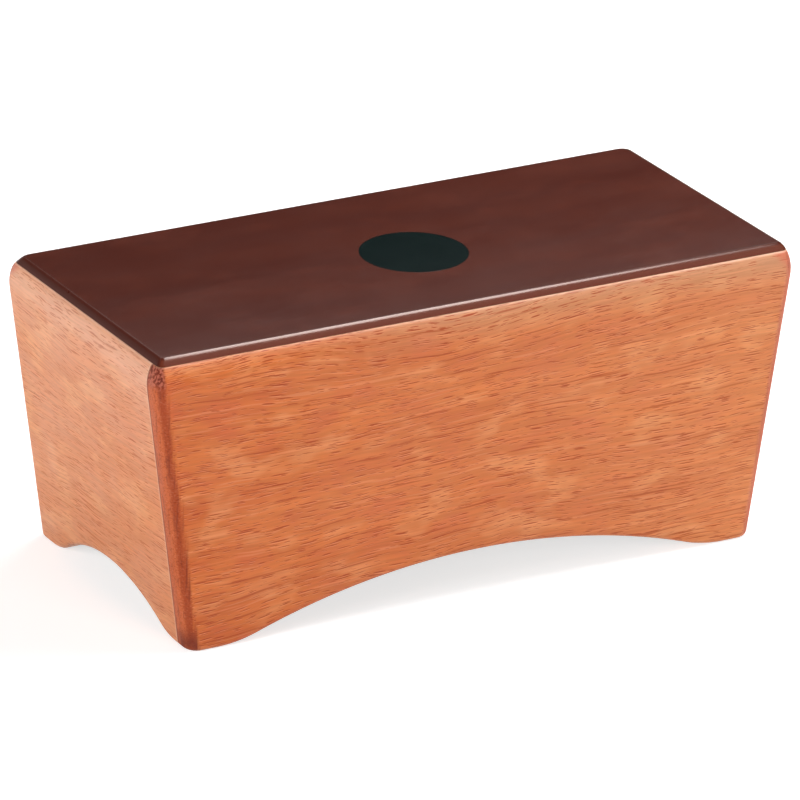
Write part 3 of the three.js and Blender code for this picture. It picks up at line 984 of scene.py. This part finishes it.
# Plywood: the share of the way through the sheet, times the count of plies, tells one ply from the next,
# and its distance to a whole number is the distance to a glue line
def makePly():
    look = plyLook
    material, tree, shader = newMaterial("dividerPly")
    through = parts(tree, field(tree, "finishAt"))[0]
    grain = grainOn(tree, look, field(tree, "grainAt"))
    face = layOver(tree, look, look["face"], "faceDeep", grain["Bands"], "bandStep")
    face = layOver(tree, look, face, "core", grain["Pores"], "poreShare")
    ply = times(tree, through, float(look["plies"]))
    odd = calc(tree, "GREATER_THAN", calc(tree, "MODULO", ply, 2.0), 1.0)
    colour = blendColour(tree, odd, face, look["core"])
    pastGlue = calc(tree, "FRACT", calc(tree, "ADD", ply, 0.5))
    fromGlue = calc(tree, "ABSOLUTE", calc(tree, "SUBTRACT", pastGlue, 0.5))
    colour = layOver(tree, look, colour, "glue", fromGlue, "glueStep")
    rough = step(tree, grain["Fibres"], *look["roughStep"])
    finishShader(tree, shader, look, colour, rough, grain["Fibres"])
    return material


# Corners of a solid's lower and upper end, in order round its middle
def endCorners(node):
    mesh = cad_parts[node].data
    found = np.empty(len(mesh.vertices) * 3)
    mesh.vertices.foreach_get("co", found)
    found = np.unique(np.round(found.reshape(-1, 3), prismLook["digits"]), axis=0)
    level = (found[:, 2].min() + found[:, 2].max()) / 2
    rings = []
    for ring in (found[found[:, 2] < level], found[found[:, 2] > level]):
        away = ring - ring.mean(0)
        rings.append(ring[np.argsort(np.arctan2(away[:, 1], away[:, 0]))])
    return rings


# Eased prism: each corner is drawn in along both its edges by the easing radius, then a small
# arc is carried round it; the arc's width and height follow a quarter circle at both ends
def prismSurface(node, ease, material, alongAxis, seed):
    lower, upper = endCorners(node)
    look = prismLook
    turns = look["turns"]

    # corners moved in, and the outward directions of the edges before and after each
    def drawnIn(ring):
        edge = np.roll(ring, -1, 0)[:, :2] - ring[:, :2]
        edge /= np.linalg.norm(edge, axis=1, keepdims=True)
        after = np.stack([edge[:, 1], -edge[:, 0]], -1)
        before = np.roll(after, 1, 0)
        spread = (before + after) / (1 + (before * after).sum(1, keepdims=True))
        return ring[:, :2] - ease * spread, before, after

    lowIn, before, after = drawnIn(lower)
    highIn = drawnIn(upper)[0]
    share = np.linspace(0, 1, turns)[None, :, None]
    ways = before[:, None] * (1 - share) + after[:, None] * share
    ways /= np.linalg.norm(ways, axis=-1, keepdims=True)
    lowZ, highZ = lower[0, 2], upper[0, 2]
    angles = np.radians(np.linspace(look["startAngle"], 0, turns))
    lift = (np.sin(angles) - np.sin(angles[0])) / -np.sin(angles[0]) * ease
    width = np.concatenate([np.cos(angles), np.cos(angles)[::-1]]) * ease
    level = np.concatenate([lowZ + lift, highZ - lift[::-1]])
    climb = ((level - lowZ) / (highZ - lowZ))[:, None, None, None]
    middle = lowIn[None, :, None] * (1 - climb) + highIn[None, :, None] * climb
    flat = middle + ways[None] * width[:, None, None, None]
    tall = np.broadcast_to(level[:, None, None, None], flat.shape[:3] + (1,))
    points = np.concatenate([flat, tall], -1).reshape(len(level), -1, 3)
    rows, count = points.shape[:2]
    faces = gridFaces(rows, count, wrapColumns=True).tolist()
    faces.append(list(range(count))[::-1])
    faces.append(list(range((rows - 1) * count, rows * count)))
    flatPoints = points.reshape(-1, 3)
    order = look["axes"][alongAxis]
    low, high = flatPoints.min(0), flatPoints.max(0)
    through = (flatPoints[:, 0] - low[0]) / (high[0] - low[0])
    fields = {
        "grainAt": flatPoints[:, order] + seed * np.array(look["seedShift"]),
        "finishAt": np.stack([through, 0 * through, 0 * through], -1),
    }
    ending = "_ply" if alongAxis == "sheet" else "_strip"
    addPiece(node + ending, points, faces, fields, material, node)


innerWood = makeInnerWood()
prismSurface("divider_panel", plyLook["ease"], makePly(), "sheet", plyLook["seed"])
innerNodes = sorted(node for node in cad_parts
                    if node.startswith(("plate_batten", "divider_batten", "divider_cleat", "corner_block")))
for seed, node in enumerate(innerNodes, innerLook["firstSeed"]):
    low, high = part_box(node)
    alongAxis = "xyz"[int(np.argmax(np.array(high - low)))]
    prismSurface(node, innerLook["ease"], innerWood, alongAxis, seed)
print("inside done:", len(innerNodes) + 1, "pieces")

# Floor, surroundings and lamps
stageLook = {
    "floorHalf": 30.0,
    "floorColour": (0.62, 0.62, 0.62, 1),
    "floorGlow": 0.66,  # only for what the camera and reflections see
    "horizon": 1.0,  # pale band round the foot of the studio wall
    "overhead": 0.04,
    "bandTop": (0.05, 0.17),  # heights over which the band fades out
}
lamps = {
    "overheadSoftbox": {"at": (0.99, 0.22, 2.15), "to": (0.99, 0.22, 0), "size": (0.58, 2.25), "power": 65},
    "frontSoftbox": {"at": (0.1, -2.1, 0.9), "to": (0, 0, 0.08), "size": (1.1, 0.8), "power": 15.2,
                     "glint": False},
    "frontCard": {"at": (0.95, -1.15, 1.65), "to": (0, 0, 0.17), "size": (1.2, 0.9), "power": 2.4},
    "leftSoftbox": {"at": (-2.4, -0.7, 1.1), "to": (0, 0, 0.08), "size": (1.6, 1.2), "power": 44.5,
                    "glint": False},
    "rearLeftSoftbox": {"at": (-1.75, 2.6, 0.28), "to": (0, 0, 0.2), "size": (1.4, 0.5), "power": 3.5},
    "rearLeftCard": {"at": (-1.75, 2.6, 1.07), "to": (0, 0, 0.2), "size": (1.4, 0.2), "power": 0.6},
    "rightSoftbox": {"at": (2.8, 0.6, 0.7), "to": (0, 0, 0.08), "size": (1.2, 0.9), "power": 26,
                     "glint": False},
    "rearCard": {"at": (0.45, 0.75, 0.845), "to": (0.45, 0, 0.845), "size": (0.9, 0.5), "power": 1.3},
}


# Floor: one large square of pale paint, which glows for the camera and for reflections
def makeFloor():
    look = stageLook
    half = look["floorHalf"]
    corners = [(-half, -half, 0), (half, -half, 0), (half, half, 0), (-half, half, 0)]
    mesh = bpy.data.meshes.new("floor")
    mesh.from_pydata(corners, [], [(0, 1, 2, 3)])
    floor = bpy.data.objects.new("floor", mesh)
    bpy.context.scene.collection.objects.link(floor)
    material, tree, shader = newMaterial("floorPaint")
    tree.nodes.remove(shader)
    ray = put(tree, "ShaderNodeLightPath").outputs
    seen = calc(tree, "MAXIMUM", ray["Is Camera Ray"], ray["Is Glossy Ray"])
    seen = calc(tree, "MAXIMUM", seen, ray["Is Transmission Ray"])
    paint = put(tree, "ShaderNodeBsdfDiffuse", {"Color": look["floorColour"]})
    glow = put(tree, "ShaderNodeEmission", {"Strength": times(tree, seen, look["floorGlow"])})
    both = put(tree, "ShaderNodeAddShader", {0: paint.outputs[0], 1: glow.outputs[0]})
    tree.links.new(both.outputs[0], tree.nodes["Material Output"].inputs["Surface"])
    mesh.materials.append(material)


# Lamp: a lit rectangle that faces its aim, unseen by the camera
def makeLamp(name, settings):
    lamp = bpy.data.lights.new(name, "AREA")
    lamp.shape = "RECTANGLE"
    lamp.size, lamp.size_y = settings["size"]
    lamp.energy = settings["power"]
    holder = bpy.data.objects.new(name, lamp)
    place = Vector(settings["at"])
    aim = (Vector(settings["to"]) - place).to_track_quat("-Z", "Y")
    holder.matrix_world = Matrix.Translation(place) @ aim.to_matrix().to_4x4()
    holder.visible_camera = False
    holder.visible_glossy = settings.get("glint", True)  # the large lamps would whiten the plate
    bpy.context.scene.collection.objects.link(holder)


makeFloor()
for name, settings in lamps.items():
    makeLamp(name, settings)


# Surroundings: brightness by the height of the direction looked in, pale low down and dark above
def makeStudio():
    look = stageLook
    world = bpy.data.worlds.new("studio")
    bpy.context.scene.world = world
    world.use_nodes = True
    tree = world.node_tree
    direction = put(tree, "ShaderNodeTexCoord").outputs["Generated"]
    height = parts(tree, direction)[2]
    level = step(tree, height, *look["bandTop"], look["horizon"], look["overhead"])
    tree.links.new(level, tree.nodes["Background"].inputs["Strength"])
    tree.nodes["Background"].inputs["Color"].default_value = (1, 1, 1, 1)


makeStudio()
print("stage done")

# Camera: turn and height of the view, its small roll, and where the box's middle falls
cameraView = {
    "azimuth": -0.5229536,
    "elevation": 0.3946355,
    "roll": 0.0257310,
    "distance": 3.916249,
    "aim": (0, 0, 0.09107),
    "across": -0.00032667,
    "upward": 0.00840743,
    "focalPixels": 7044.303,
    "imageWidth": 800,
    "sensor": 36.0,
    "clipEnd": 100,
}


# Camera place: the aim, less its offsets in the picture, and back from it by the distance; the lens is the
# focal length in pixels over the image's width, times the sensor
def makeCamera():
    view = cameraView
    az, el, roll = view["azimuth"], view["elevation"], view["roll"]
    level = Vector((math.cos(az), math.sin(az), 0))
    back = Vector((math.sin(az) * math.cos(el), -math.cos(az) * math.cos(el), math.sin(el)))
    upright = back.cross(level)
    right = math.cos(roll) * level + math.sin(roll) * upright
    up = math.cos(roll) * upright - math.sin(roll) * level
    place = Vector(view["aim"]) - view["across"] * right - view["upward"] * up + view["distance"] * back
    lens = bpy.data.cameras.new("photoView")
    lens.sensor_width = view["sensor"]
    lens.lens = view["focalPixels"] / view["imageWidth"] * view["sensor"]
    lens.clip_end = view["clipEnd"]
    camera = bpy.data.objects.new("photoView", lens)
    turned = Matrix((right, up, back)).transposed().to_4x4()
    camera.matrix_world = Matrix.Translation(place) @ turned
    bpy.context.scene.collection.objects.link(camera)
    bpy.context.scene.camera = camera


makeCamera()
bpy.context.scene.view_settings.view_transform = "Standard"
print("camera done")

bpy.context.view_layer.update()
